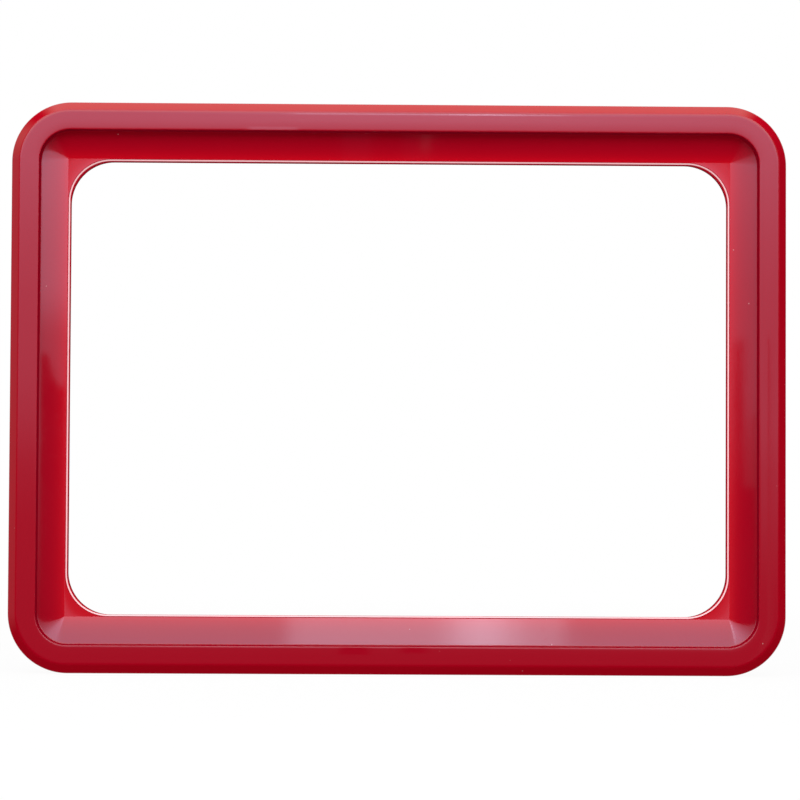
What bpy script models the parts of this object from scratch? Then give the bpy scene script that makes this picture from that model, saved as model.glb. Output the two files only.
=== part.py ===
"""Moulded sign frame for a landscape A4 card.

Two equal half shells meet on a parting plane down the middle of the rails.
Each is a hollow rail with a raised outer band, a step, a sloping panel and a
thin beaded lip round the window. Between the two panels runs the channel for
the card, which is loaded from above in a clear sleeve.

X runs along the frame, +Z is up, and the front looks towards -Y. The origin is
at the middle of the bottom edge. All sizes are in metres.
"""
from math import cos, hypot, pi, radians, sin

import bmesh
import bpy
from mathutils import Matrix, Vector

# The card, and the room that it has in the channel
CARD_W = 0.297
CARD_H = 0.210
CARD_PLAY_X = 0.0010
CARD_PLAY_Z = 0.0014

# Rail section: insets are measured in from the frame's outer edge
DEPTH = 0.016
WALL = 0.0016
LAND = 0.0030
SKIRT_IN = 0.0038
RAIL_W = 0.01205
STEP_DRAFT = 0.0004
STOP_SET = 0.00075
SLOPE_DROP = 0.00128
LIP_REACH = 0.0113
LIP_T = 0.00137
LIP_FLAT = 0.0030
LIP_DRAFT = 0.00062
FLANGE = 0.00041
FLANGE_ROUND = 0.0010
BEAD_W = 0.00045
BEAD_H = 0.0005

# Corners in plan
CORNER_R = 0.025
OPENING_R = 0.016
CHANNEL_R = 0.0010

# Softened edges of the section
FOOT_ROUND = 0.0005
FACE_EDGE = 0.0006
STEP_EDGE = 0.0004
STEP_FOOT = 0.0003
LARGEST_TRIM = 0.45

# Clearances
SEAM_GAP = 0.0003
SLEEVE_GAP = 0.0003
CHANNEL_PLAY = 0.00055
SLOT_PLAY = 0.0007
SLOT_SPARE = 0.0003
PIN_GAP = 0.0003
PIN_SPARE = 0.00095

# Flared mouth of the loading slot, between the top corners
MOUTH_FLARE = 0.0006
MOUTH_DEEP = 0.0012
CUT_BEYOND = 0.002

# Ribs and joining pins inside the hollow rails
RIB_T = 0.0010
RIB_PITCH = 0.027
RIB_SHY = 0.0009
PIN_R = 0.0015
PIN_REACH = 0.0026
PIN_POINT = 0.0007
BOSS_R = 0.0029
SIDE_PINS = 4
BOTTOM_PINS = 3
PIN_MARGIN = 0.033

# Clear sleeve
SHEET_T = 0.00035
SLEEVE_T = 0.0012
SLEEVE_SEAM = 0.0030
SLEEVE_SPARE_TOP = 0.0012
SLEEVE_R = 0.0025
NOTCH_R = 0.0085

# Steps that round shapes are drawn with
CORNER_STEPS = 12
EDGE_STEPS = 3
FOOT_STEPS = 2
BEAD_STEPS = 3
PIN_SIDES = 14
SLEEVE_STEPS = 5
NOTCH_SIDES = 24
SHARP = radians(24)
SAME_PLACE = 1e-7
HAIR = 0.00005

# Plastics
RED = (0.42, 0.008, 0.018)
RED_ROUGHNESS = 0.28
FILM = (0.93, 0.95, 0.96)
FILM_ROUGHNESS = 0.08
FILM_ALPHA = 0.15

# Sizes that follow
HALF = DEPTH / 2
SEAM = SEAM_GAP / 2
SINK = WALL / 3
SKIRT_FOOT = LAND + FOOT_ROUND
STOP_IN = RAIL_W + STEP_DRAFT + STOP_SET
LIP_IN = STOP_IN + LIP_REACH
WIDTH = CARD_W + 2 * (CARD_PLAY_X + STOP_IN)
HEIGHT = CARD_H + 2 * (CARD_PLAY_Z + STOP_IN)
CHANNEL_H = SLEEVE_T / 2 + CHANNEL_PLAY
CHANNEL_W = WIDTH - 2 * STOP_IN
LIP_H = CHANNEL_H + LIP_T
STEP_H = LIP_H + SLOPE_DROP
SLOT_H = SLEEVE_T / 2 + SLOT_PLAY
CAVITY_H = HALF - WALL
CAVITY_IN = RAIL_W - WALL
CAVITY_FOOT = CAVITY_IN + STEP_DRAFT
PIN_IN = (WALL + CAVITY_IN) / 2


def clear_scene():
    for old in list(bpy.data.objects):
        bpy.data.objects.remove(old, do_unlink=True)


def plastic(name, colour, roughness, alpha=1.0):
    material = bpy.data.materials.new(name)
    material.use_nodes = True
    shader = material.node_tree.nodes["Principled BSDF"]
    shader.inputs["Base Color"].default_value = (*colour, 1.0)
    shader.inputs["Roughness"].default_value = roughness
    shader.inputs["Metallic"].default_value = 0.0
    shader.inputs["Alpha"].default_value = alpha
    return material


def add_object(name, bm, material=None, helper=False):
    bmesh.ops.recalc_face_normals(bm, faces=bm.faces)
    mesh = bpy.data.meshes.new(name)
    bm.to_mesh(mesh)
    bm.free()
    mesh.shade_smooth()
    mesh.set_sharp_from_angle(angle=SHARP)
    piece = bpy.data.objects.new(name, mesh)
    bpy.context.collection.objects.link(piece)
    if material:
        mesh.materials.append(material)
    if helper:
        piece.hide_render = True
        piece.display_type = "WIRE"
    return piece


def boolean(piece, tool, operation):
    modifier = piece.modifiers.new(tool.name, "BOOLEAN")
    modifier.operation = operation
    modifier.object = tool


def settle(piece):
    """Keep the result of a piece's modifiers as its mesh, with its new edges marked sharp."""
    bpy.context.view_layer.update()
    result = piece.evaluated_get(bpy.context.evaluated_depsgraph_get())
    mesh = bpy.data.meshes.new_from_object(result)
    mesh.name = piece.name
    mesh.shade_smooth()
    mesh.set_sharp_from_angle(angle=SHARP)
    piece.modifiers.clear()
    piece.data = mesh


# Section of one half shell

def node(inset, height, plan_r=None):
    """A corner of the section: inset, height off the parting plane, radius in plan."""
    return Vector((inset, height, CORNER_R - inset if plan_r is None else plan_r))


def curve(start, bend, end, steps):
    """Points of a smooth curve from start to end that leans towards bend."""
    return [start.lerp(bend, k / steps).lerp(bend.lerp(end, k / steps), k / steps)
            for k in range(steps + 1)]


def soften(before, corner, after, trim, steps):
    """Points of a small round that replaces one corner of the section."""
    ends = []
    for other in (before, after):
        run = other - corner
        ends.append(corner + run * min(trim / hypot(run.x, run.y), LARGEST_TRIM))
    return curve(ends[0], corner, ends[1], steps)


def inner_skirt(outline):
    """The same skirt one wall further in, which is the hollow's outer side."""
    inside = []
    for before, point, after in zip(outline, outline[1:], outline[2:]):
        run = (after - before).to_2d().normalized()
        inside.append(node(point.x + run.y * WALL, min(point.y - run.x * WALL, CAVITY_H)))
    return inside


def at_lip(past, height):
    """A node of the lip, at a distance outwards from its inner edge."""
    return node(LIP_IN - past, height, OPENING_R + past)


def bead():
    """The rounded bead along the lip and its drafted inner edge, from the panel to the window."""
    crest = LIP_H + BEAD_H
    start = LIP_DRAFT + BEAD_W
    bend = (start + LIP_DRAFT) / 2
    rise = curve(at_lip(start, LIP_H), at_lip(bend, crest), at_lip(LIP_DRAFT, crest), BEAD_STEPS)
    return [*rise, at_lip(HAIR, CHANNEL_H + FLANGE)]


def shell_section():
    """The closed outline of one half shell across a rail, as a list of nodes."""
    face_out = node(SKIRT_IN, HALF)
    face_in = node(RAIL_W, HALF)
    step_foot = node(RAIL_W + STEP_DRAFT, STEP_H)
    slope_end = node(LIP_IN - LIP_DRAFT - BEAD_W - HAIR, LIP_H, 0)
    seam_out = node(0, SEAM)
    skirt_foot = node(0, SKIRT_FOOT)
    section = [seam_out]
    section += soften(seam_out, skirt_foot, face_out, FOOT_ROUND, EDGE_STEPS)
    section += soften(skirt_foot, face_out, face_in, FACE_EDGE, EDGE_STEPS)
    section += soften(face_out, face_in, step_foot, STEP_EDGE, EDGE_STEPS)
    section += soften(face_in, step_foot, slope_end, STEP_FOOT, FOOT_STEPS)
    section += [slope_end, *bead()]
    section += [
        node(LIP_IN, CHANNEL_H, OPENING_R + FLANGE_ROUND),
        node(LIP_IN - LIP_FLAT, CHANNEL_H, OPENING_R / 2),
        node(STOP_IN, STEP_H - WALL, CHANNEL_R),
        node(STOP_IN, SEAM, CHANNEL_R),
        node(CAVITY_FOOT, SEAM, CHANNEL_R + WALL),
        node(CAVITY_FOOT - HAIR, STEP_H - HAIR, CHANNEL_R + WALL),
        node(CAVITY_FOOT, STEP_H + HAIR),
        node(CAVITY_IN, CAVITY_H),
    ]
    section += reversed(inner_skirt([seam_out, skirt_foot, face_out, face_in]))
    section.append(node(WALL, SEAM))
    return section


def contour(inset, height, plan_r):
    """A rounded rectangle round the frame, counter-clockwise as the viewer sees it."""
    points = []
    side_x = WIDTH / 2 - inset - plan_r
    low = inset + plan_r
    high = HEIGHT - inset - plan_r
    corners = ((side_x, low, -90), (side_x, high, 0), (-side_x, high, 90), (-side_x, low, 180))
    for x, z, start in corners:
        for k in range(CORNER_STEPS + 1):
            turn = radians(start + 90 * k / CORNER_STEPS)
            points.append(Vector((x + plan_r * cos(turn), -height, z + plan_r * sin(turn))))
    return points


def ring_of_verts(bm, point):
    """One contour's vertices; a contour with square corners has one vertex at each."""
    ring = []
    for place in contour(point.x, point.y, point.z):
        if point.z == 0 and ring and (ring[-1].co - place).length < SAME_PLACE:
            ring.append(ring[-1])
        else:
            ring.append(bm.verts.new(place))
    return ring


def join_rings(bm, rings):
    """Faces between each ring of vertices and the next; doubled vertices are left out."""
    for ring, following in zip(rings, rings[1:]):
        for k in range(len(ring)):
            nxt = (k + 1) % len(ring)
            corners = dict.fromkeys((ring[k], ring[nxt], following[nxt], following[k]))
            if len(corners) > 2:
                bm.faces.new(corners)


def build_shell():
    bm = bmesh.new()
    rings = [ring_of_verts(bm, point) for point in shell_section()]
    join_rings(bm, [*rings, rings[0]])
    return bm


# Ribs, pins and sockets

def on_side(side, along, inset, height):
    """A point of a rail: along it, in from its outer edge and off the parting plane."""
    if side == "bottom":
        return Vector((along, -height, inset))
    if side == "top":
        return Vector((along, -height, HEIGHT - inset))
    if side == "left":
        return Vector((-WIDTH / 2 + inset, -height, along))
    return Vector((WIDTH / 2 - inset, -height, along))


def add_rib(bm, side, along):
    """A thin plate across the hollow rail, sunk a little into the walls round it."""
    top = CAVITY_H + SINK
    outline = ((WALL - SINK, RIB_SHY), (WALL - SINK, LAND), (SKIRT_IN + SINK, top),
               (CAVITY_IN + SINK, top), (CAVITY_FOOT + SINK, RIB_SHY))
    sides = [[bm.verts.new(on_side(side, along + offset, *corner)) for corner in outline]
             for offset in (-RIB_T / 2, RIB_T / 2)]
    for plate in sides:
        bm.faces.new(plate)
    join_rings(bm, sides)


def add_turned(bm, profile, centre):
    """A closed turned solid about an axis along Y; the profile is (radius, height)."""
    rings = []
    for radius, height in profile:
        if radius == 0:
            rings.append([bm.verts.new(centre + Vector((0, -height, 0)))] * PIN_SIDES)
            continue
        ring = []
        for k in range(PIN_SIDES):
            turn = 2 * pi * k / PIN_SIDES
            offset = Vector((radius * cos(turn), -height, radius * sin(turn)))
            ring.append(bm.verts.new(centre + offset))
        rings.append(ring)
    join_rings(bm, rings)


def add_boss(bm, centre, inner):
    """A round boss from the rail's face to the seam, with a pin or a bore as its inner profile."""
    root = CAVITY_H + SINK
    add_turned(bm, ((0, root), (BOSS_R, root), (BOSS_R, SEAM), *inner), centre)


def add_pin(bm, centre):
    add_boss(bm, centre, ((PIN_R, SEAM), (PIN_R, PIN_POINT - PIN_REACH),
                          (PIN_R - PIN_POINT / 2, -PIN_REACH), (0, -PIN_REACH)))


def add_socket(bm, centre):
    bore = PIN_R + PIN_GAP
    floor = PIN_REACH + PIN_SPARE
    add_boss(bm, centre, ((bore, SEAM), (bore, floor), (0, floor)))


def spread(low, high, count):
    return [low + (high - low) * k / (count - 1) for k in range(count)]


def pin_places():
    """Where the halves pin together. A pin faces a socket when one half is turned round."""
    places = []
    for k, z in enumerate(spread(PIN_MARGIN, HEIGHT - PIN_MARGIN, SIDE_PINS)):
        places.append((on_side("right", z, PIN_IN, 0), k % 2 == 0))
        places.append((on_side("left", z, PIN_IN, 0), k % 2 == 1))
    reach = WIDTH / 2 - PIN_MARGIN
    for k, x in enumerate(spread(reach / BOTTOM_PINS / 2, reach, BOTTOM_PINS)):
        places.append((on_side("bottom", x, PIN_IN, 0), k % 2 == 1))
        places.append((on_side("bottom", -x, PIN_IN, 0), k % 2 == 0))
    return places


def rib_places(pins):
    """Even pitch along each rail, left out where a pin's boss stands."""
    places = []
    for side, low, high in (("bottom", -WIDTH / 2, WIDTH / 2), ("top", -WIDTH / 2, WIDTH / 2),
                            ("left", 0, HEIGHT), ("right", 0, HEIGHT)):
        low += CORNER_R
        high -= CORNER_R
        count = max(2, round((high - low) / RIB_PITCH) + 1)
        for along in spread(low, high, count):
            middle = on_side(side, along, PIN_IN, 0)
            if all((middle - place).length > BOSS_R + RIB_T for place, _ in pins):
                places.append((side, along))
    return places


def build_fittings():
    bm = bmesh.new()
    pins = pin_places()
    for place, is_pin in pins:
        if is_pin:
            add_pin(bm, place)
        else:
            add_socket(bm, place)
    for side, along in rib_places(pins):
        add_rib(bm, side, along)
    return bm


# Loading slot

def tapered_block(levels):
    """A block about the middle of the parting plane; each level is (height, half width, half depth)."""
    bm = bmesh.new()
    ends = []
    for z, x, y in levels:
        ends.append([bm.verts.new(place) for place in ((-x, -y, z), (x, -y, z), (x, y, z), (-x, y, z))])
    for end in ends:
        bm.faces.new(end)
    join_rings(bm, ends)
    return bm


def slot_tools():
    """The slot that the sleeve passes, and the flare of its mouth along the straight top edge."""
    above = HEIGHT + CUT_BEYOND
    half_slot = CHANNEL_W / 2 + SLOT_SPARE
    slot = tapered_block(((HEIGHT - STOP_IN - LIP_FLAT / 2, half_slot, SLOT_H),
                          (above, half_slot, SLOT_H)))
    slant = MOUTH_FLARE / MOUTH_DEEP
    half_mouth = WIDTH / 2 - CORNER_R
    rise = MOUTH_DEEP + CUT_BEYOND
    mouth = tapered_block(((HEIGHT - MOUTH_DEEP, half_mouth - MOUTH_DEEP, SLOT_H),
                           (above, half_mouth + CUT_BEYOND, SLOT_H + slant * rise)))
    return [add_object("slot_cutter", slot, helper=True), add_object("mouth_cutter", mouth, helper=True)]


def build_half(name, turned, cutters, material):
    shell = add_object(name, build_shell(), material)
    fittings = add_object(name + "_fittings", build_fittings(), helper=True)
    for piece in (shell, fittings):
        piece.rotation_euler.z = pi if turned else 0
    boolean(shell, fittings, "UNION")
    for cutter in cutters:
        boolean(shell, cutter, "DIFFERENCE")
    settle(shell)


# Clear sleeve

def rounded_slab(width, thick, high, radius):
    """A flat sheet with rounded corners that stands on the origin."""
    bm = bmesh.new()
    outline = []
    x = width / 2 - radius
    top = high - radius
    for cx, cz, start in ((x, radius, -90), (x, top, 0), (-x, top, 90), (-x, radius, 180)):
        for k in range(SLEEVE_STEPS + 1):
            turn = radians(start + 90 * k / SLEEVE_STEPS)
            outline.append((cx + radius * cos(turn), cz + radius * sin(turn)))
    sides = [[bm.verts.new((px, y, pz)) for px, pz in outline] for y in (-thick / 2, thick / 2)]
    for side in sides:
        bm.faces.new(side)
    join_rings(bm, sides)
    return bm


def build_sleeve(material):
    """Two clear sheets sealed on three sides and open above, with a thumb notch in front."""
    tall = CARD_H + SLEEVE_SPARE_TOP
    wide = CHANNEL_W - 2 * SLEEVE_GAP
    sleeve = add_object("clear_sleeve", rounded_slab(wide, SLEEVE_T, tall, SLEEVE_R), material)
    pocket_x = wide / 2 - SLEEVE_SEAM
    pocket_y = SLEEVE_T / 2 - SHEET_T
    pocket = tapered_block(((SLEEVE_SEAM, pocket_x, pocket_y), (tall + CUT_BEYOND, pocket_x, pocket_y)))
    notch = bmesh.new()
    across = Matrix.Translation((0, -SLEEVE_T / 2, tall)) @ Matrix.Rotation(pi / 2, 4, "X")
    bmesh.ops.create_cone(notch, cap_ends=True, segments=NOTCH_SIDES, radius1=NOTCH_R, radius2=NOTCH_R,
                          depth=SLEEVE_T, matrix=across)
    for name, bm in (("sleeve_pocket", pocket), ("sleeve_notch", notch)):
        tool = add_object(name, bm, helper=True)
        tool.parent = sleeve
        boolean(sleeve, tool, "DIFFERENCE")
    settle(sleeve)
    sleeve.location.z = STOP_IN + SLEEVE_GAP


def build():
    clear_scene()
    red = plastic("red_plastic", RED, RED_ROUGHNESS)
    clear = plastic("clear_film", FILM, FILM_ROUGHNESS, FILM_ALPHA)
    cutters = slot_tools()
    build_half("front_shell", False, cutters, red)
    build_half("rear_shell", True, cutters, red)
    build_sleeve(clear)


build()
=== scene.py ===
"""Looks of the moulded red sign frame: two glossy half shells and a clear sleeve, on a white set."""
from math import cos, pi, radians, sin, tan

import bmesh
import bpy
from mathutils import Matrix, Vector


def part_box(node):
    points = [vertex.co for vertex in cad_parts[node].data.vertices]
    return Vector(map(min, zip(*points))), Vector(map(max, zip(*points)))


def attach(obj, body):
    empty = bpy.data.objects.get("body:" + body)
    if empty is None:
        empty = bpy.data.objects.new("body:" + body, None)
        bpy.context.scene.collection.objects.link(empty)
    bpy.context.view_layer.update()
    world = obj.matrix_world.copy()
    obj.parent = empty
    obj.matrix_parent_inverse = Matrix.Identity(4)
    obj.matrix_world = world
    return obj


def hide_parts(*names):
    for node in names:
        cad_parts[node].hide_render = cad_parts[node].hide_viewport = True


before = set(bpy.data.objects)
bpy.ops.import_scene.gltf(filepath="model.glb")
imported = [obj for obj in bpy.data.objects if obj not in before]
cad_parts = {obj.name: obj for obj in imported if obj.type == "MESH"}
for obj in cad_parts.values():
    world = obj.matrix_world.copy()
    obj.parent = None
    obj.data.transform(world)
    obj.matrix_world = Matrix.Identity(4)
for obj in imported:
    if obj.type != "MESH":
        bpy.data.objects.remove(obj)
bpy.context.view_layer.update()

# Overall sizes in metres, from the frame
MM = 0.001
SHELL_LOW, SHELL_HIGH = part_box("front_shell")
SLEEVE_LOW, SLEEVE_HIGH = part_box("clear_sleeve")
WIDTH = SHELL_HIGH.x - SHELL_LOW.x
HEIGHT = SHELL_HIGH.z - SHELL_LOW.z

# Rail section in millimetres: insets from the outer edge, heights off the parting plane
CORNER_R = 25.0
FACE_H = -SHELL_LOW.y / MM
LAND = 3.0
SKIRT_FOOT = (0.30, 3.85)
SKIRT_IN = 3.7
RAIL_W = 11.85
FACE_CROWN = 0.035
STEP_DRAFT = 0.4
STEP_H = 3.8
WALL = 1.6

# Parting gap: half its width, how deep it goes, and half the hairline behind it
SEAM = 0.15
SEAM_DEEP = 0.4
CLOSED = 0.01

# Small rounds where the section turns
EDGE_ROUND = 0.35
SHOULDER_ROUND = 0.7
STEP_ROUND = 0.3
CREST_ROUND = (0.05, 0.03)
LEDGE_ROUND = 0.02

# Lip: a dull rise with painted shade, a drafted edge painted pale as a highlight, and a ledge with painted
# shade that is narrower on the bottom rail
LIP_IN = 24.78
LIP_DRAFT = 0.93
LIP_LEDGE = 0.42
LOW_LEDGE = 0.02
CREST_IN = LIP_IN - LIP_DRAFT
LEDGE_IN = LIP_IN - LIP_LEDGE
RIM_R = 17.3
OPENING_R = 17.9
BEAD_W = 0.2
BEAD_H = 0.1
FLANGE = 0.5

# Sloping panel, which ends just clear of the bead
PANEL_TILT = radians(7.2)
PANEL_FOOT = RAIL_W + STEP_DRAFT + STEP_ROUND
BEAD_FOOT = CREST_IN - BEAD_W
BEAD_CLEAR = 0.01
BEAD_OVERLAP = 0.04
LIP_H = STEP_H - tan(PANEL_TILT) * (BEAD_FOOT + BEAD_OVERLAP - PANEL_FOOT)

# Inside: the channel that holds the sleeve, its stop wall and the hollow rail
CHANNEL_H = 1.15
LIP_FLAT = 3.0
STOP_IN = 13.2
CAVITY_R = 1.0
CAVITY_BEND = 0.1

# Inner face of the skirt: how far inside the skirt's top it ends, and how far above the land it starts
SKIRT_TOP_INSIDE = 0.55
SKIRT_FOOT_INSIDE = 0.6

# How much painted glow the outer band takes, a brighter colour standing in for light through thin plastic,
# where the rail's face is 0 and the lip is 1
BAND_PAINTED_GLOW = 0.38

# Points along the section's faces and round each corner of the frame
BAND_STEPS = 3
SHOULDER_STEPS = 6
FACE_STEPS = 10
BROW_STEPS = 5
FOOT_STEPS = 4
PANEL_LEVELS = (0.005, 1 / 6, 1 / 3, 1 / 2, 2 / 3, 5 / 6, 0.985, 1)
RISE_LEVELS = (1.0, 0.8, 0.5, 0.2, 0.0)
CORNER_STEPS = 28

# A round takes at most this share of the sides it lies between, a corner tighter than this many metres is
# square, and an edge that turns more than this is shaded sharp
MOST_OF_SIDE = 0.45
SQUARE_BELOW = 1e-6
SHARP_ANGLE = radians(35)

# Loading slot in the top rail, in metres
SLOT_H = SLEEVE_HIGH.y + 0.7 * MM
SLOT_HALF = SLEEVE_HIGH.x + 0.6 * MM
MOUTH_FLARE = 0.6 * MM
MOUTH_DEEP = 1.2 * MM
CUT_BEYOND = 2 * MM

# Film: width of the welded seams in metres, how much the seams hide, and how much painted sheen a slanted
# view shows
WELD_W = 3.0 * MM
WELD_EASE = 0.2 * MM
WELD_VEIL = 0.16
SLANT_SHEEN = 0.3
SLANTED = (0.06, 0.95)


# Shader helpers

def add(tree, kind, wires=None, **settings):
    """A shader node with its settings; each wire is a socket to join or a plain value."""
    made = tree.nodes.new(kind)
    for key, value in settings.items():
        setattr(made, key, value)
    for key, value in (wires or {}).items():
        if isinstance(value, bpy.types.NodeSocket):
            tree.links.new(value, made.inputs[key])
        else:
            made.inputs[key].default_value = value
    return made


def maths(tree, operation, a, b=0.0, c=0.0, clamp=False):
    return add(tree, "ShaderNodeMath", {0: a, 1: b, 2: c}, operation=operation, use_clamp=clamp).outputs[0]


def vector_maths(tree, operation, *values):
    return add(tree, "ShaderNodeVectorMath", dict(enumerate(values)), operation=operation).outputs[0]


def product(tree, first, *others):
    for other in others:
        first = maths(tree, "MULTIPLY", first, other)
    return first


def total(tree, first, *others):
    for other in others:
        first = maths(tree, "ADD", first, other)
    return first


def distance(tree, value, middle=0.0):
    return maths(tree, "ABSOLUTE", maths(tree, "SUBTRACT", value, middle))


def smooth(tree, value, low, high, out_low=0.0, out_high=1.0):
    """value eased from out_low to out_high between low and high."""
    return add(tree, "ShaderNodeMapRange", {0: value, 1: low, 2: high, 3: out_low, 4: out_high},
               interpolation_type="SMOOTHSTEP").outputs[0]


def between(tree, value, low, full_low, full_high, high):
    """1 from full_low to full_high, easing to 0 at low and at high."""
    return product(tree, smooth(tree, value, low, full_low), smooth(tree, value, high, full_high))


def noise(tree, place, scale, detail, roughness=0.5, output="Fac"):
    wires = {"Vector": place, "Scale": scale, "Detail": detail, "Roughness": roughness}
    return add(tree, "ShaderNodeTexNoise", wires).outputs[output]


def blend_colour(tree, factor, a, b):
    return add(tree, "ShaderNodeMix", {0: factor, 6: a, 7: b}, data_type="RGBA").outputs[2]


def split(tree, vector):
    return add(tree, "ShaderNodeSeparateXYZ", {0: vector}).outputs


def place_on_object(tree):
    return add(tree, "ShaderNodeTexCoord").outputs["Object"]


def new_group(name, inputs, outputs):
    group = bpy.data.node_groups.new(name, "ShaderNodeTree")
    for label, kind, value in inputs:
        socket = group.interface.new_socket(label, in_out="INPUT", socket_type=kind)
        if value is not None:
            socket.default_value = value
    for label, kind in outputs:
        group.interface.new_socket(label, in_out="OUTPUT", socket_type=kind)
    return group, group.nodes.new("NodeGroupInput").outputs, group.nodes.new("NodeGroupOutput").inputs


def new_material(name):
    material = bpy.data.materials.new(name)
    material.use_nodes = True
    return material, material.node_tree, material.node_tree.nodes["Principled BSDF"]


def emptied_tree(owner):
    """The node tree of a new material or world, without the nodes it starts with."""
    owner.use_nodes = True
    owner.node_tree.nodes.clear()
    return owner.node_tree


# Effects that the plastics share

FLOAT, VECTOR = "NodeSocketFloat", "NodeSocketVector"

# Moulding marks: their scale per metre, and their shares in the gloss and in the height
SINK_SCALE = 38.0
STREAK_SCALE = 260.0
STREAK_STRETCH = (1.0, 1.0, 0.25)
GRAIN_SCALE = 2600.0
SINK_SHARE = 0.8
STREAK_SHARE = 0.6
STREAK_HEIGHT = 0.10
GRAIN_HEIGHT = 0.06

# Wear: hairlines are thin cells drawn out across the height, kept in worn patches; dust sits in round cells
WARP_SCALE = 45.0
WARP_BY = (0.012, 0.012, 0.012)
HAIRLINE_CELLS = (70.0, 70.0, 1400.0)
HAIRLINE_EDGE = (0.16, 0.05)
WORN_SCALE = 26.0
WORN_EDGE = (0.56, 0.68)
DUST_SCALE = 170.0
DUST_EDGE = (0.055, 0.03)
DUST_ABOVE = 0.86

# How strongly the red plastic shows them
UNEVENNESS = 0.02
SCUFFS = 0.35
SPECKS = 0.5
SCUFF_DULLS = 0.25
SCUFF_DEPTH = 0.3
DENT_DEPTH = 0.2 * MM


def build_mould_group():
    """Uneven gloss of a moulded face: slow sink marks, faint flow streaks and fine grain."""
    group, given, out = new_group(
        "moulded_gloss",
        [("Vector", VECTOR, None), ("Roughness", FLOAT, 0.14), ("Unevenness", FLOAT, 0.03)],
        [("Roughness", FLOAT), ("Height", FLOAT)])
    place = given["Vector"]
    slow = noise(group, place, SINK_SCALE, 2.0)
    drawn_out = vector_maths(group, "MULTIPLY", place, STREAK_STRETCH)
    streaks = noise(group, drawn_out, STREAK_SCALE, 3.0, 0.6)
    grain = noise(group, place, GRAIN_SCALE, 2.0)
    # Both noises lie round a half, so half their shares is taken off to leave the mix round zero
    wander = maths(group, "MULTIPLY_ADD", streaks, STREAK_SHARE, product(group, slow, SINK_SHARE))
    centred = maths(group, "SUBTRACT", wander, (STREAK_SHARE + SINK_SHARE) / 2)
    shift = product(group, centred, given["Unevenness"])
    roughness = maths(group, "MULTIPLY_ADD", shift, 2.0, given["Roughness"], clamp=True)
    marks = maths(group, "MULTIPLY_ADD", streaks, STREAK_HEIGHT, slow)
    height = maths(group, "MULTIPLY_ADD", grain, GRAIN_HEIGHT, marks)
    group.links.new(roughness, out["Roughness"])
    group.links.new(height, out["Height"])
    return group


def build_wear_group():
    """Handling wear: short hairline scuffs in worn patches, and a few specks of dust."""
    group, given, out = new_group(
        "handling_wear",
        [("Vector", VECTOR, None), ("Scuffs", FLOAT, 0.4), ("Specks", FLOAT, 0.5)],
        [("Scuff", FLOAT), ("Speck", FLOAT)])
    place = given["Vector"]
    warp = noise(group, place, WARP_SCALE, 2.0, output="Color")
    warped = vector_maths(group, "MULTIPLY_ADD", warp, WARP_BY, place)
    cells = vector_maths(group, "MULTIPLY", warped, HAIRLINE_CELLS)
    hair = add(group, "ShaderNodeTexVoronoi", {"Vector": cells, "Scale": 1.0, "Randomness": 1.0}).outputs[0]
    hairs = smooth(group, hair, *HAIRLINE_EDGE)
    worn = smooth(group, noise(group, place, WORN_SCALE, 1.0), *WORN_EDGE)
    group.links.new(product(group, hairs, worn, given["Scuffs"]), out["Scuff"])
    dots = add(group, "ShaderNodeTexVoronoi", {"Vector": place, "Scale": DUST_SCALE, "Randomness": 1.0})
    spot = smooth(group, dots.outputs[0], *DUST_EDGE)
    lot = add(group, "ShaderNodeSeparateColor", {0: dots.outputs[1]}).outputs[0]
    picked = maths(group, "GREATER_THAN", lot, DUST_ABOVE)
    group.links.new(product(group, spot, picked, given["Specks"]), out["Speck"])
    return group


MOULD_GROUP = build_mould_group()
WEAR_GROUP = build_wear_group()


# Materials

def red_plastic(name, deep, thin, dust, roughness, bump, ior):
    """Solid red polystyrene: deeper over the hollow rail, and brighter where the panel thins to the lip, a
    painted glow standing in for light coming through.
    """
    material, tree, shader = new_material(name)
    place = place_on_object(tree)
    gloss = add(tree, "ShaderNodeGroup", node_tree=MOULD_GROUP)
    gloss.inputs["Roughness"].default_value = roughness
    gloss.inputs["Unevenness"].default_value = UNEVENNESS
    wear = add(tree, "ShaderNodeGroup", node_tree=WEAR_GROUP)
    wear.inputs["Scuffs"].default_value = SCUFFS
    wear.inputs["Specks"].default_value = SPECKS
    for group in (gloss, wear):
        tree.links.new(place, group.inputs["Vector"])
    thinness = add(tree, "ShaderNodeAttribute", attribute_name="thinness").outputs["Fac"]
    colour = blend_colour(tree, wear.outputs["Speck"], blend_colour(tree, thinness, deep, thin), dust)
    scuff = wear.outputs["Scuff"]
    worn = maths(tree, "MULTIPLY_ADD", scuff, SCUFF_DULLS, gloss.outputs["Roughness"], clamp=True)
    height = maths(tree, "MULTIPLY_ADD", scuff, -SCUFF_DEPTH, gloss.outputs["Height"])
    dent = add(tree, "ShaderNodeBump", {"Strength": bump, "Distance": DENT_DEPTH, "Height": height})
    tree.links.new(colour, shader.inputs["Base Color"])
    tree.links.new(worn, shader.inputs["Roughness"])
    tree.links.new(dent.outputs["Normal"], shader.inputs["Normal"])
    shader.inputs["IOR"].default_value = ior
    return material


def add_painted_glow(material, colour, strength):
    """Painted glow: an even emission all along a thin edge, standing in for light coming through it."""
    shader = material.node_tree.nodes["Principled BSDF"]
    shader.inputs["Emission Color"].default_value = colour
    shader.inputs["Emission Strength"].default_value = strength


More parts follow.
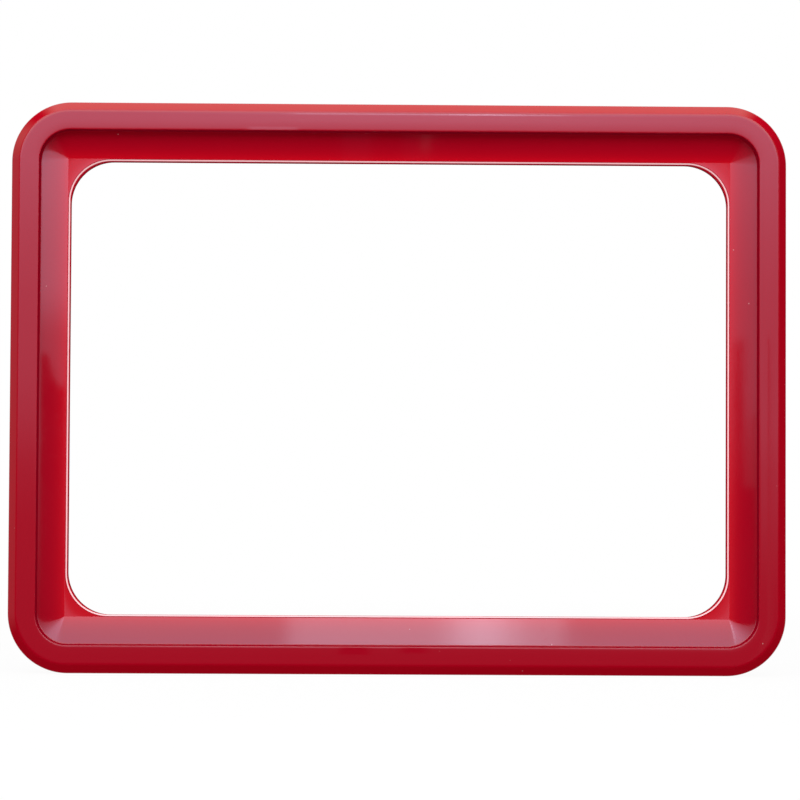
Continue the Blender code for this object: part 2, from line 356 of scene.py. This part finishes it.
def clear_film(name):
    """Clear soft film: barely there face on, paler over the welded seams, and paler at a slant as a painted
    sheen.
    """
    material, tree, shader = new_material(name)
    x, _, z = split(tree, place_on_object(tree))
    to_side = maths(tree, "SUBTRACT", SLEEVE_HIGH.x, distance(tree, x))
    to_foot = maths(tree, "SUBTRACT", z, SLEEVE_LOW.z)
    weld = smooth(tree, maths(tree, "MINIMUM", to_side, to_foot), WELD_W + WELD_EASE, WELD_W - WELD_EASE)
    # Painted sheen: the pale film shows more at a slant, standing in for its reflection.
    slant = add(tree, "ShaderNodeLayerWeight", {"Blend": 0.5}).outputs["Facing"]
    sheen = smooth(tree, slant, *SLANTED, 0.0, SLANT_SHEEN)
    weld_and_sheen = maths(tree, "MULTIPLY_ADD", weld, WELD_VEIL, sheen, clamp=True)
    shader.inputs["Base Color"].default_value = (0.80, 0.84, 0.86, 1.0)
    shader.inputs["Roughness"].default_value = 0.06
    shader.inputs["IOR"].default_value = 1.5
    tree.links.new(weld_and_sheen, shader.inputs["Alpha"])
    return material


RED = red_plastic(
    "glossy_red_polystyrene", deep=(0.39, 0.0010, 0.0115, 1), thin=(0.60, 0.0025, 0.0120, 1),
    dust=(0.75, 0.42, 0.42, 1), roughness=0.04, bump=0.05, ior=1.59)
# Painted highlight: the lip's drafted edge is painted pale pink and given a painted glow, in place of a
# glossy highlight.
PAINTED_HIGHLIGHT_EDGE = red_plastic(
    "thin_pale_lip_edge", deep=(0.9, 0.42, 0.46, 1), thin=(0.9, 0.42, 0.46, 1),
    dust=(0.9, 0.7, 0.7, 1), roughness=0.12, bump=0.02, ior=1.8)
# Dull inside faces: partly real unpolished moulding, partly painted shade, as their red is darker than the
# outside's.
DULL_PAINTED_SHADE = red_plastic(
    "unpolished_and_painted_shade", deep=(0.30, 0.0010, 0.014, 1), thin=(0.47, 0.006, 0.018, 1),
    dust=(0.3, 0.1, 0.1, 1), roughness=0.5, bump=0.05, ior=1.05)
add_painted_glow(PAINTED_HIGHLIGHT_EDGE, (1.0, 0.68, 0.70, 1), 0.36)
FILM = clear_film("clear_soft_film")

SHELL_MATERIALS = (RED, PAINTED_HIGHLIGHT_EDGE, DULL_PAINTED_SHADE)
OUTSIDE, HIGHLIGHT_EDGE, DULL_SHADE = range(len(SHELL_MATERIALS))


# The two half shells

def node(inset, height, plan_r=None, thin=0.0, part=OUTSIDE, drop=0.0):
    """A corner of the section. plan_r is its radius round the frame's corners; thin is how much of the
    brighter colour it takes, a painted glow standing in for light through the thin plastic near the lip; part
    tells what follows it; drop is how much nearer the outer edge it lies on the bottom rail."""
    return {"at": Vector((inset, height)), "plan": CORNER_R - inset if plan_r is None else plan_r,
            "thin": thin, "part": part, "drop": drop}


def rounded(before, corner, after, trim, steps, **values):
    """Small round in place of a sharp corner of the section."""
    corner = Vector(corner)
    ends = []
    for other in (before, after):
        run = Vector(other) - corner
        ends.append(corner + run * min(trim / run.length, MOST_OF_SIDE))
    points = []
    for k in range(steps + 1):
        t = k / steps
        at = ends[0].lerp(corner, t).lerp(corner.lerp(ends[1], t), t)
        points.append(node(at.x, at.y, **values))
    return points


def skirt_and_shoulder(face_out, face_in):
    """Parting edge, the slanted outer band and the round that leads on to the rail's face."""
    edge_top = (0, LAND + EDGE_ROUND)
    points = [node(0, SEAM)]
    points += rounded((0, SEAM), edge_top, SKIRT_FOOT, EDGE_ROUND, BAND_STEPS)
    # Painted glow: the outer band takes part of the brighter colour, fading out across the shoulder.
    points += rounded(edge_top, SKIRT_FOOT, face_out, EDGE_ROUND, BAND_STEPS, thin=BAND_PAINTED_GLOW)
    shoulder = rounded(SKIRT_FOOT, face_out, face_in, SHOULDER_ROUND, SHOULDER_STEPS)
    for k, point in enumerate(shoulder):
        point["thin"] = BAND_PAINTED_GLOW * (1 - k / SHOULDER_STEPS)
    return points + shoulder


def rail_face():
    """The rail's front, flat outside and falling a few hundredths of a millimetre towards the step."""
    points = []
    for k in range(1, FACE_STEPS):
        t = k / FACE_STEPS
        fall = FACE_CROWN * max(0, 2 * t - 1) ** 2
        points.append(node(SKIRT_IN + t * (RAIL_W - SKIRT_IN), FACE_H - fall))
    return points


def step_wall(face_out, face_in, foot, after):
    """The step down from the rail's face, with a dull wall of painted shade between its two rounds."""
    brow = rounded(face_out, face_in, foot, STEP_ROUND, BROW_STEPS)
    # The step wall takes the dull material, whose darker red is painted shade.
    brow[-1]["part"] = DULL_SHADE
    return brow + rounded(face_in, foot, after, STEP_ROUND, FOOT_STEPS)


def sloping_panel(start, end):
    """The panel from the step's foot to its sharp-cornered inner rectangle."""
    points = []
    for t in PANEL_LEVELS:
        at = Vector(start).lerp(Vector(end), t)
        # Painted glow: the colour brightens towards the lip, standing in for light through the thinning
        # panel.
        points.append(node(at.x, at.y, (CORNER_R - start[0]) * (1 - t), thin=t ** 3))
    return points


def lip():
    """Dull rise with painted shade along the lip, its drafted edge painted pale as a highlight with a painted
    glow, and the ledge with painted shade down to the channel, which all but vanishes on the bottom rail. The
    foot of the rise gets the same painted glow as the panel that it stands on."""
    top, flange_top = LIP_H + BEAD_H, CHANNEL_H + FLANGE
    points = []
    for across in RISE_LEVELS:
        inset = CREST_IN - BEAD_W * across
        up = 1 - across ** 2
        # The rise takes the dull material, whose darker red is a painted shade line.
        points.append(node(inset, LIP_H + BEAD_H * up, RIM_R + LEDGE_IN - inset, thin=0.0 if up else 1.0,
                           part=DULL_SHADE))
    for inset, height in ((CREST_IN + CREST_ROUND[0], top - CREST_ROUND[1]), (LEDGE_IN, flange_top)):
        points.append(node(inset, height, RIM_R + LEDGE_IN - inset, thin=1.0, part=HIGHLIGHT_EDGE))
    points.append(node(LEDGE_IN + LEDGE_ROUND, flange_top - LEDGE_ROUND, RIM_R, thin=1.0, part=DULL_SHADE))
    points.append(node(LIP_IN, CHANNEL_H, OPENING_R, thin=1.0, part=DULL_SHADE, drop=LIP_LEDGE - LOW_LEDGE))
    return points


def inside_faces():
    """The channel's flat, the stop wall and the hollow rail, back to the parting gap."""
    cavity_in = RAIL_W - WALL
    cavity_foot = cavity_in + STEP_DRAFT
    cavity_h = FACE_H - WALL
    return [
        node(LIP_IN - LIP_FLAT, CHANNEL_H, OPENING_R / 2, part=DULL_SHADE),
        node(STOP_IN, STEP_H - WALL, CAVITY_R, part=DULL_SHADE),
        node(STOP_IN, SEAM, CAVITY_R, part=DULL_SHADE),
        node(cavity_foot, SEAM, CAVITY_R + WALL, part=DULL_SHADE),
        node(cavity_foot, STEP_H, CAVITY_R + WALL, part=DULL_SHADE),
        node(cavity_foot, STEP_H + CAVITY_BEND, part=DULL_SHADE),
        node(cavity_in, cavity_h, part=DULL_SHADE),
        node(SKIRT_IN + SKIRT_TOP_INSIDE, cavity_h, part=DULL_SHADE),
        node(WALL, LAND + SKIRT_FOOT_INSIDE, part=DULL_SHADE),
        node(WALL, CLOSED, part=DULL_SHADE),
        node(SEAM_DEEP, CLOSED),
    ]


def half_section():
    """The closed section of one half shell, from the parting edge over the outside and back inside."""
    face_out, face_in = (SKIRT_IN, FACE_H), (RAIL_W, FACE_H - FACE_CROWN)
    step_foot = (RAIL_W + STEP_DRAFT, STEP_H + STEP_ROUND * tan(PANEL_TILT))
    panel_end = (BEAD_FOOT - BEAD_CLEAR, LIP_H)
    outer = skirt_and_shoulder(face_out, face_in) + rail_face()
    outer += step_wall(face_out, face_in, step_foot, panel_end)
    outer += sloping_panel((PANEL_FOOT, STEP_H), panel_end)
    return outer + lip() + inside_faces()


def ring_of_verts(bm, layer, point):
    """One rounded rectangle of vertices; square corners share one vertex each."""
    inset, height, plan = point["at"].x * MM, point["at"].y * MM, point["plan"] * MM
    side_x = WIDTH / 2 - inset - plan
    low, high = inset + plan - point["drop"] * MM, HEIGHT - inset - plan
    ring = []
    for x, z, start in ((side_x, low, -90), (side_x, high, 0), (-side_x, high, 90), (-side_x, low, 180)):
        for k in range(CORNER_STEPS + 1):
            if plan < SQUARE_BELOW and k:
                ring.append(ring[-1])
                continue
            turn = radians(start + 90 * k / CORNER_STEPS)
            vert = bm.verts.new((x + plan * cos(turn), -height, z + plan * sin(turn)))
            vert[layer] = point["thin"]
            ring.append(vert)
    return ring


def finished_mesh(bm, name):
    bmesh.ops.recalc_face_normals(bm, faces=bm.faces)
    mesh = bpy.data.meshes.new(name)
    bm.to_mesh(mesh)
    bm.free()
    return mesh


def build_shell_mesh(name):
    """The section carried round the frame, with its painted glow kept on the points."""
    bm = bmesh.new()
    layer = bm.verts.layers.float.new("thinness")
    section = half_section()
    rings = [ring_of_verts(bm, layer, point) for point in section]
    for n, ring in enumerate(rings):
        following = rings[(n + 1) % len(rings)]
        for k in range(len(ring)):
            nxt = (k + 1) % len(ring)
            corners = list(dict.fromkeys((ring[k], ring[nxt], following[nxt], following[k])))
            if len(corners) > 2:
                face = bm.faces.new(corners)
                face.smooth = True
                face.material_index = section[n]["part"]
    mesh = finished_mesh(bm, name)
    for material in SHELL_MATERIALS:
        mesh.materials.append(material)
    return mesh


def tapered_block(name, levels):
    """A cutter about the middle of the parting plane; each level is (height, half width, half depth)."""
    bm = bmesh.new()
    ends = [[bm.verts.new(place) for place in ((-x, -y, z), (x, -y, z), (x, y, z), (-x, y, z))]
            for z, x, y in levels]
    for end in ends:
        bm.faces.new(end)
    for k in range(4):
        nxt = (k + 1) % 4
        bm.faces.new((ends[0][k], ends[0][nxt], ends[1][nxt], ends[1][k]))
    block = bpy.data.objects.new(name, finished_mesh(bm, name))
    bpy.context.collection.objects.link(block)
    return block


def slot_cutters():
    """The loading slot through the top rail and its flared mouth."""
    above = HEIGHT + CUT_BEYOND
    slot_low = HEIGHT - (STOP_IN + LIP_FLAT / 2) * MM
    slot = tapered_block("slot_cutter", ((slot_low, SLOT_HALF, SLOT_H), (above, SLOT_HALF, SLOT_H)))
    mouth_half = WIDTH / 2 - CORNER_R * MM
    flare = MOUTH_FLARE / MOUTH_DEEP * (MOUTH_DEEP + CUT_BEYOND)
    mouth = tapered_block("mouth_cutter", ((HEIGHT - MOUTH_DEEP, mouth_half - MOUTH_DEEP, SLOT_H),
                                           (above, mouth_half + CUT_BEYOND, SLOT_H + flare)))
    return slot, mouth


def cut_out(half, cutters):
    """The mesh of one half once the cutters are taken away."""
    for cutter in cutters:
        cut = half.modifiers.new(cutter.name, "BOOLEAN")
        cut.operation = "DIFFERENCE"
        cut.object = cutter
    bpy.context.view_layer.update()
    result = half.evaluated_get(bpy.context.evaluated_depsgraph_get())
    mesh = bpy.data.meshes.new_from_object(result)
    mesh.name = half.name
    mesh.set_sharp_from_angle(angle=SHARP_ANGLE)
    half.modifiers.clear()
    return mesh


def build_halves():
    """Front and rear half shells, the rear one turned half round, with the loading slot cut."""
    cutters = slot_cutters()
    for name, node_name, turn in (("front_half", "front_shell", 0), ("rear_half", "rear_shell", pi)):
        mesh = build_shell_mesh(name)
        mesh.transform(Matrix.Rotation(turn, 4, "Z"))
        half = bpy.data.objects.new(name, mesh)
        bpy.context.collection.objects.link(half)
        half.data = cut_out(half, cutters)
        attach(half, "frame")
        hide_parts(node_name)
    for cutter in cutters:
        bpy.data.objects.remove(cutter, do_unlink=True)


def dress_sleeve():
    """The sleeve keeps its CAD shape and gets the film's look."""
    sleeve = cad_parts["clear_sleeve"]
    sleeve.data.materials.clear()
    sleeve.data.materials.append(FILM)


# White set

WHITE = (1, 1, 1, 1)

# Floor: half its width, and how white it is to the camera near the frame, where it keeps its shadow, and
# from how far off it is white all through
FLOOR_HALF = 6.0
WHITE_NEAR = 0.94
SHADOW_FADE = (0.25, 1.0)

# Key lamp: place and width in metres, and power in watts
KEY_PLACE = Vector((0.0, -0.66, 0.93))
KEY_SIZE = 1.0
KEY_POWER = 8.4

# Upright things before the frame, in metres: how far before it they stand and the heights that they share
THINGS_LOW = -0.032
SHOULDER_TOP = 0.0847
CAMERA_SIDE_FROM = 1.003
CAMERA_ARM_FROM = 0.853
FAR_STAND_FROM = 1.268
REFLECTOR_FROM = 0.5
REFLECTOR_FOOT = 0.165
LAMPS_FROM = 4.0
LAMPS_APART = 0.01
LAMP_FOOT, LAMP_TOP = 0.79, 0.90
LAMP_FADE = (0.797, 0.8105)
LAMP_COLOUR = (1.0, 1.0, 1.22, 1)

# Brightness in the gloss by the height of the direction that it mirrors: dark below the camera, then the bank
REFLECTED = ((-0.11, 0.0), (-0.087, 0.06), (-0.052, 0.10), (-0.009, 0.14), (0.010, 0.24), (0.024, 0.46),
             (0.040, 0.66), (0.067, 0.74), (0.09, 0.97), (0.106, 1.22), (0.129, 1.6), (0.163, 1.75),
             (0.19, 1.95), (0.35, 2.6), (0.6, 2.2), (1.0, 1.3))
BRIGHTEST = 3.0

# Where the gloss mirrors what, as parts of the direction: x to the right, y away from the camera, z up
PATCH_LEVEL = 0.2
PATCH_FROM = (0.04, 0.12)
PATCH_RISE = (-0.04, 0.005, 0.02, 0.045)
GLOW_LEVEL = 0.8
GLOW_MIDDLE = 0.035
GLOW_ASIDE = (0.02, 0.13)
GLOW_RISE = (0.115, 0.16, 0.185, 0.205)
SIDES_LEVEL = 0.1
SIDES_FROM = (0.5, 0.8)
CEILING_LEVEL = 0.98
CEILING_FROM = (0.45, 0.7)
CEILING_ASIDE = (0.3, 0.55)
LEFT_WALL_FROM = (-0.6, -0.85)
LEFT_WALL_LEVEL = 0.2
LEFT_WALL_GAIN = 0.6
PAST_FRAME = (-0.2, 0.2)
BACKDROP_FROM = (0.46, 0.56)
BLUE_BEFORE, BLUE_PAST = 1.36, 1.08
LESS_BLUE = 0.82
LESS_BLUE_FROM = (0.197, 0.215)

# Even light of the sky: its level, and how much it gains from above, from below and from the left
SKY_LEVEL = 0.58
SKY_ABOVE = 0.25
SKY_BELOW = 0.04
SKY_LEFT = 0.035

# Camera, matched to the edges of the photographed frame: place in metres, turns, and lens in millimetres
CAMERA_PLACE = (-0.01424, -1.2154, 0.07429)
CAMERA_TO_RIGHT, CAMERA_UP, CAMERA_ROLL = radians(0.703), radians(1.918), radians(0.306)
CAMERA_LENS = 130.21


def put_on_stage(thing, unseen_by):
    """Add a thing of the set, hidden from these kinds of ray."""
    bpy.context.collection.objects.link(thing)
    for rays in unseen_by:
        setattr(thing, "visible_" + rays, False)


def build_floor():
    """White floor that still shows a faint shadow where the frame stands."""
    material = bpy.data.materials.new("white_floor")
    tree = emptied_tree(material)
    lit = add(tree, "ShaderNodeBsdfDiffuse", {"Color": (0.8, 0.8, 0.8, 1)})
    white = add(tree, "ShaderNodeEmission", {"Color": WHITE, "Strength": 1.0})
    seen = add(tree, "ShaderNodeLightPath").outputs["Is Camera Ray"]
    away = add(tree, "ShaderNodeVectorMath", {0: place_on_object(tree)}, operation="LENGTH").outputs["Value"]
    cover = product(tree, seen, smooth(tree, away, *SHADOW_FADE, WHITE_NEAR, 1.0))
    look = add(tree, "ShaderNodeMixShader", {0: cover, 1: lit.outputs[0], 2: white.outputs[0]})
    add(tree, "ShaderNodeOutputMaterial", {"Surface": look.outputs[0]})
    mesh = bpy.data.meshes.new("floor")
    corners = ((-1, -1), (1, -1), (1, 1), (-1, 1))
    mesh.from_pydata([(x * FLOOR_HALF, y * FLOOR_HALF, 0) for x, y in corners], [], [range(4)])
    mesh.materials.append(material)
    put_on_stage(bpy.data.objects.new("floor", mesh), ("glossy", "diffuse"))


def build_key_light():
    """Large soft lamp above the camera; the gloss takes its reflections from the sky instead."""
    data = bpy.data.lights.new("soft_key", "AREA")
    data.shape = "SQUARE"
    data.size = KEY_SIZE
    data.energy = KEY_POWER
    lamp = bpy.data.objects.new("soft_key", data)
    lamp.location = KEY_PLACE
    lamp.rotation_euler = (Vector((0, 0, HEIGHT / 2)) - KEY_PLACE).to_track_quat("-Z", "Y").to_euler()
    put_on_stage(lamp, ("camera", "glossy"))


def plain_glow(name, colour):
    """A thing that shows in the gloss as one even colour."""
    material = bpy.data.materials.new(name)
    tree = emptied_tree(material)
    glow = add(tree, "ShaderNodeEmission", {"Color": colour, "Strength": 1.0})
    add(tree, "ShaderNodeOutputMaterial", {"Surface": glow.outputs[0]})
    return material


def added_glow(name, colour, strength, fade_up, fade_aside=None):
    """Light added to what lies behind it, coming in between the two heights of fade_up. fade_aside is the
    middle of the lit strip, half its full width and half the width where it ends."""
    material = bpy.data.materials.new(name)
    tree = emptied_tree(material)
    x, _, z = split(tree, place_on_object(tree))
    level = smooth(tree, z, *fade_up, 0.0, strength)
    if fade_aside:
        middle, full, end = fade_aside
        level = product(tree, level, smooth(tree, distance(tree, x, middle), full, end, 1.0, 0.0))
    glow = add(tree, "ShaderNodeEmission", {"Color": colour, "Strength": level})
    clear = add(tree, "ShaderNodeBsdfTransparent")
    look = add(tree, "ShaderNodeAddShader", {0: glow.outputs[0], 1: clear.outputs[0]})
    add(tree, "ShaderNodeOutputMaterial", {"Surface": look.outputs[0]})
    return material


def reflected_card(name, before, outline, material):
    """Upright card before the frame that only the gloss shows; the outline is a list of (x, z)."""
    mesh = bpy.data.meshes.new(name)
    mesh.from_pydata([(x, -before, z) for x, z in outline], [], [range(len(outline))])
    mesh.materials.append(material)
    put_on_stage(bpy.data.objects.new(name, mesh), ("camera", "diffuse", "transmission", "shadow"))


def upright(left, right, low, high):
    """Outline of a plain card."""
    return (left, low), (right, low), (right, high), (left, high)


def build_dark_things():
    """The dark camera side and its arm before the frame, with a grey stand beside them and one far right."""
    dark = plain_glow("dark_side", (0.028, 0.028, 0.05, 1))
    grey = plain_glow("grey_stand", (0.22, 0.22, 0.27, 1))
    side_left, side_neck, side_right = 0.0145, 0.0218, 0.0340
    reflected_card("camera_side", CAMERA_SIDE_FROM, (
        (side_left, THINGS_LOW), (0.0345, THINGS_LOW), (side_right, SHOULDER_TOP), (side_neck, SHOULDER_TOP),
        (side_neck, 0.196), (side_left, 0.193)), dark)
    arm_left, arm_right, arm_top = -0.031, -0.0105, 0.1746
    reflected_card("camera_arm", CAMERA_ARM_FROM, (
        (arm_left, THINGS_LOW), (arm_right, THINGS_LOW), (arm_right, 0.150), (-0.0156, 0.1525),
        (-0.0199, 0.1596), (-0.0242, arm_top), (arm_left, arm_top)), dark)
    reflected_card("side_stand", CAMERA_SIDE_FROM, (
        (0.0283, SHOULDER_TOP), (side_right, SHOULDER_TOP), (side_right, 0.1397), (0.0300, 0.1397)), grey)
    reflected_card("far_stand", FAR_STAND_FROM, (
        (0.3245, -0.3), (0.333, -0.3), (0.331, 0.10), (0.3300, 0.21), (0.3250, 0.214)), grey)


def build_soft_lamps():
    """A small pale reflector on the left, and two far lamps, the narrow one on the wide one, that only the
    slope of the bottom rail mirrors."""
    reflector = added_glow("small_reflector", (0.75, 0.75, 1.0, 1), 1.0, fade_up=(REFLECTOR_FOOT, 0.20))
    reflected_card("reflector", REFLECTOR_FROM, upright(-0.083, -0.055, REFLECTOR_FOOT, 0.28), reflector)
    wide = added_glow("wide_lamp", LAMP_COLOUR, 1.6, LAMP_FADE, fade_aside=(0.1, 0.228, 0.264))
    reflected_card("wide_lamp", LAMPS_FROM, upright(-0.17, 0.37, LAMP_FOOT, LAMP_TOP), wide)
    narrow = added_glow("narrow_lamp", LAMP_COLOUR, 2.6, LAMP_FADE, fade_aside=(0.2, 0.0, 0.1))
    reflected_card("narrow_lamp", LAMPS_FROM - LAMPS_APART, upright(0.1, 0.3, LAMP_FOOT, LAMP_TOP), narrow)


def bank_of_light(tree, z):
    """The level of the bank before the frame at each height."""
    low, high = REFLECTED[0][0], REFLECTED[-1][0]
    share = add(tree, "ShaderNodeMapRange", {0: z, 1: low, 2: high}).outputs[0]
    ramp = add(tree, "ShaderNodeValToRGB", {0: share})
    stops = ramp.color_ramp.elements
    while len(stops) < len(REFLECTED):
        stops.new(0.5)
    for stop, (height, level) in zip(stops, REFLECTED):
        stop.position = (height - low) / (high - low)
        stop.color = (*[level / BRIGHTEST] * 3, 1)
    return product(tree, ramp.outputs[0], BRIGHTEST)


def light_before(tree, x, z):
    """What the gloss mirrors before the frame: the bank, a faint patch low on the right and a brighter one
    above the camera, all fading out towards the sides."""
    patch = product(tree, smooth(tree, x, *PATCH_FROM, 0.0, PATCH_LEVEL), between(tree, z, *PATCH_RISE))
    glow = product(tree, smooth(tree, distance(tree, x, GLOW_MIDDLE), *GLOW_ASIDE, GLOW_LEVEL, 0.0),
                   between(tree, z, *GLOW_RISE))
    level = total(tree, bank_of_light(tree, z), patch, glow)
    return product(tree, level, smooth(tree, distance(tree, x), *SIDES_FROM, 1.0, SIDES_LEVEL))


def light_behind(tree, x, z):
    """What it mirrors past the frame: a ceiling panel over the middle and, on the left, a wall that is paler
    the higher it is."""
    ceiling = product(tree, smooth(tree, z, *CEILING_FROM, 0.0, CEILING_LEVEL),
                      smooth(tree, distance(tree, x), *CEILING_ASIDE, 1.0, 0.0))
    paleness = maths(tree, "MULTIPLY_ADD", z, LEFT_WALL_GAIN, LEFT_WALL_LEVEL, clamp=True)
    return total(tree, ceiling, product(tree, smooth(tree, x, *LEFT_WALL_FROM), paleness))


def light_in_gloss(tree, x, y, z):
    """Colour of the light that the gloss mirrors: bluish before the frame, less so high up and past it, and
    the white backdrop behind."""
    level = add(tree, "ShaderNodeMix", {0: smooth(tree, y, *PAST_FRAME), 2: light_before(tree, x, z),
                                        3: light_behind(tree, x, z)}).outputs[0]
    blue = product(tree, smooth(tree, y, *PAST_FRAME, BLUE_BEFORE, BLUE_PAST),
                   smooth(tree, z, *LESS_BLUE_FROM, 1.0, LESS_BLUE))
    tint = add(tree, "ShaderNodeCombineXYZ", {0: 1.0, 1: 1.0, 2: blue}).outputs[0]
    tinted = add(tree, "ShaderNodeVectorMath", {0: tint, 3: level}, operation="SCALE").outputs[0]
    return blend_colour(tree, smooth(tree, y, *BACKDROP_FROM), tinted, WHITE)


def build_world():
    """Soft studio: even light on the object, the bank of light in its gloss, and white where it is seen."""
    world = bpy.data.worlds.new("studio")
    bpy.context.scene.world = world
    tree = emptied_tree(world)
    x, y, z = split(tree, add(tree, "ShaderNodeTexCoord").outputs["Generated"])
    gain = maths(tree, "MAXIMUM", product(tree, z, SKY_ABOVE), product(tree, z, -SKY_BELOW))
    even = maths(tree, "MULTIPLY_ADD", x, -SKY_LEFT, total(tree, gain, SKY_LEVEL))
    even_light = add(tree, "ShaderNodeBackground", {"Color": WHITE, "Strength": even})
    gloss_light = add(tree, "ShaderNodeBackground", {"Color": light_in_gloss(tree, x, y, z), "Strength": 1.0})
    white = add(tree, "ShaderNodeBackground", {"Color": WHITE, "Strength": 1.0})
    ray = add(tree, "ShaderNodeLightPath").outputs
    lit = add(tree, "ShaderNodeMixShader", {0: ray["Is Glossy Ray"], 1: even_light.outputs[0],
                                            2: gloss_light.outputs[0]})
    through = maths(tree, "MAXIMUM", ray["Is Camera Ray"], ray["Is Transmission Ray"])
    sky = add(tree, "ShaderNodeMixShader", {0: through, 1: lit.outputs[0], 2: white.outputs[0]})
    add(tree, "ShaderNodeOutputWorld", {"Surface": sky.outputs[0]})
    world.cycles.sampling_method = "NONE"


def build_camera():
    """Camera a little below the frame's middle, from the photograph's perspective."""
    data = bpy.data.cameras.new("camera")
    data.lens = CAMERA_LENS
    data.sensor_width = 36
    data.clip_start = 0.05
    data.clip_end = 50
    camera = bpy.data.objects.new("camera", data)
    bpy.context.collection.objects.link(camera)
    turn = (Matrix.Rotation(-CAMERA_TO_RIGHT, 4, "Z") @ Matrix.Rotation(pi / 2 + CAMERA_UP, 4, "X")
            @ Matrix.Rotation(CAMERA_ROLL, 4, "Z"))
    camera.matrix_world = Matrix.Translation(CAMERA_PLACE) @ turn
    bpy.context.scene.camera = camera


build_halves()
dress_sleeve()
build_floor()
build_key_light()
build_dark_things()
build_soft_lamps()
build_world()
build_camera()
bpy.context.scene.view_settings.view_transform = "Standard"
